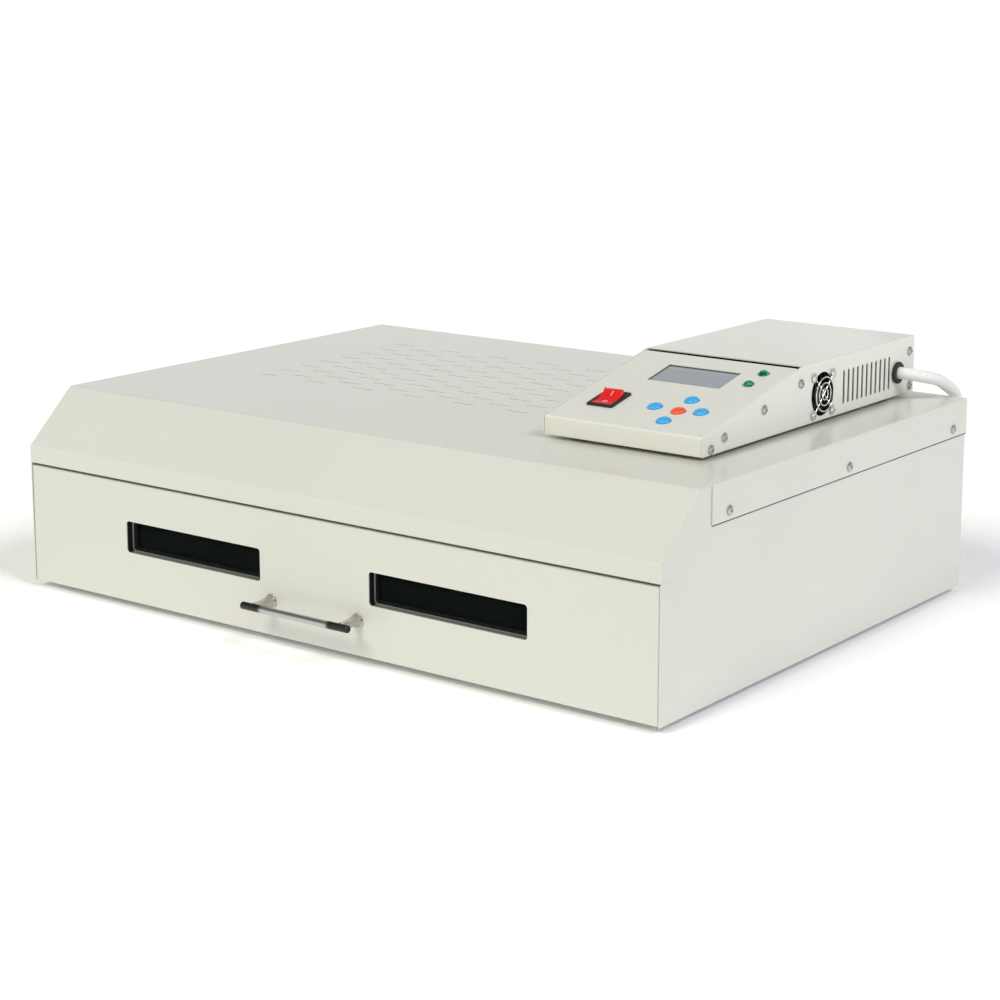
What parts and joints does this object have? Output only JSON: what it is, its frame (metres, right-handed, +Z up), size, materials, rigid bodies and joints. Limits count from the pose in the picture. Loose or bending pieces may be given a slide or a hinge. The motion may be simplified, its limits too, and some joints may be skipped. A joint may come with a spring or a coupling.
{
  "type": "reflow oven",
  "caption": "Low benchtop infrared reflow oven with a windowed telescoping drawer, bar handle, slotted top and a sloped control box with buttons, rocker switch and cooling fan.",
  "frame": {"origin": "on the surface it stands on, under the middle of the object", "axes": "+X to the right seen from the front, +Y to the back, +Z up"},
  "size_m": [0.6974, 0.5546, 0.2354],
  "materials": {
    "powder_coat": "satin textured powder coat",
    "galvanised_steel": "galvanised",
    "tray_steel": "heat-darkened",
    "reflector_aluminium": "bright rolled",
    "screw_nickel": "nickel plated",
    "chrome_trim": "polished",
    "feet_rubber": "matt",
    "ceramic_wool": "fibrous",
    "seal_cloth": "woven",
    "quartz": "frosted",
    "heater_ceramic": "matt",
    "motor_metal": "satin",
    "black_plastic": "fine texture",
    "window_glass": "clear",
    "display_glass": "unlit display",
    "display_module": "matt",
    "circuit_board": "solder mask",
    "rocker_red": "gloss",
    "button_blue": "gloss",
    "button_red": "gloss",
    "lamp_green": "faceted lens",
    "harness_sleeve": "soft sleeve"
  },
  "bodies": {
    "casing": {"base_pan": "galvanised_steel", "side_panel_left": "powder_coat", "side_panel_right": "powder_coat", "rear_panel": "powder_coat", "top_cover": "powder_coat", "cover_screws": "screw_nickel", "rubber_feet": "feet_rubber", "oven_liner": "galvanised_steel", "insulation": "ceramic_wool", "heater_tubes": "quartz", "heater_end_caps": "heater_ceramic", "heater_brackets": "galvanised_steel", "heater_reflector": "reflector_aluminium", "circulation_motor": "motor_metal", "exhaust_fan_frame": "black_plastic", "exhaust_duct": "galvanised_steel", "exhaust_collar": "galvanised_steel", "mains_inlet": "black_plastic", "thermocouple": "galvanised_steel", "slide_outer_left": "galvanised_steel", "slide_outer_right": "galvanised_steel", "box_base": "powder_coat", "box_panel": "powder_coat", "box_cover": "powder_coat", "box_screws": "screw_nickel", "box_spacers": "feet_rubber", "lcd_module": "display_module", "lcd_glass": "display_glass", "rocker_bezel": "black_plastic", "button_board": "circuit_board", "indicator_lenses": "lamp_green", "box_fan_frame": "black_plastic", "box_fan_guard": "chrome_trim", "box_grommet": "feet_rubber", "harness_sleeve": "harness_sleeve", "rear_grommet": "feet_rubber", "controller_board": "circuit_board", "power_supply": "motor_metal", "relay_block": "black_plastic"},
    "drawer": {"drawer_front": "powder_coat", "window_frames": "black_plastic", "window_glass": "window_glass", "handle_bar": "chrome_trim", "handle_posts": "chrome_trim", "handle_screws": "screw_nickel", "drawer_tray": "tray_steel", "drawer_seal": "seal_cloth", "slide_inner_left": "galvanised_steel", "slide_inner_right": "galvanised_steel"},
    "slide_mid_left": {"slide_mid_left": "galvanised_steel"},
    "slide_mid_right": {"slide_mid_right": "galvanised_steel"},
    "circulation_blade": {"circulation_blade": "reflector_aluminium"},
    "exhaust_fan_wheel": {"exhaust_fan_wheel": "black_plastic"},
    "box_fan_wheel": {"box_fan_wheel": "black_plastic"},
    "rocker": {"rocker": "rocker_red"},
    "button_left": {"button_left": "button_blue"},
    "button_front": {"button_front": "button_blue"},
    "button_centre": {"button_centre": "button_red"},
    "button_rear": {"button_rear": "button_blue"},
    "button_right": {"button_right": "button_blue"}
  },
  "joints": [
    {"name": "drawer_slide", "type": "slide", "parent": "casing", "child": "drawer", "axis": [0, -1, 0], "range_m": [0, 0.38]},
    {"name": "mid_slide_left", "type": "slide", "parent": "casing", "child": "slide_mid_left", "axis": [0, -1, 0], "range_m": [0, 0.19]},
    {"name": "mid_slide_right", "type": "slide", "parent": "casing", "child": "slide_mid_right", "axis": [0, -1, 0], "range_m": [0, 0.19]},
    {"name": "circulation_spin", "type": "hinge", "parent": "casing", "child": "circulation_blade", "pos_m": [-0.15, 0.172, 0.086], "axis": [0, 1, 0], "continuous": true},
    {"name": "exhaust_spin", "type": "hinge", "parent": "casing", "child": "exhaust_fan_wheel", "pos_m": [0.15, 0.2368, 0.09], "axis": [0, 1, 0], "continuous": true},
    {"name": "box_fan_spin", "type": "hinge", "parent": "casing", "child": "box_fan_wheel", "pos_m": [0.2902, 0.0706, 0.2067], "axis": [1, 0, 0], "continuous": true},
    {"name": "rocker_hinge", "type": "hinge", "parent": "casing", "child": "rocker", "pos_m": [0.1772, -0.0753, 0.20862], "axis": [-1, 0, 0], "range_deg": [0, 24]},
    {"name": "button_left_press", "type": "slide", "parent": "casing", "child": "button_left", "axis": [0, 0.2215, -0.9751], "range_m": [0, 0.0012], "stiffness_N_per_m": 600, "springref_m": -0.0008},
    {"name": "button_front_press", "type": "slide", "parent": "casing", "child": "button_front", "axis": [0, 0.2215, -0.9751], "range_m": [0, 0.0012], "stiffness_N_per_m": 600, "springref_m": -0.0008},
    {"name": "button_centre_press", "type": "slide", "parent": "casing", "child": "button_centre", "axis": [0, 0.2215, -0.9751], "range_m": [0, 0.0012], "stiffness_N_per_m": 600, "springref_m": -0.0008},
    {"name": "button_rear_press", "type": "slide", "parent": "casing", "child": "button_rear", "axis": [0, 0.2215, -0.9751], "range_m": [0, 0.0012], "stiffness_N_per_m": 600, "springref_m": -0.0008},
    {"name": "button_right_press", "type": "slide", "parent": "casing", "child": "button_right", "axis": [0, 0.2215, -0.9751], "range_m": [0, 0.0012], "stiffness_N_per_m": 600, "springref_m": -0.0008}
  ],
  "couplings": [
    {"joint": "mid_slide_left", "follows": "drawer_slide", "ratio": 0.5},
    {"joint": "mid_slide_right", "follows": "drawer_slide", "ratio": 0.5}
  ]
}
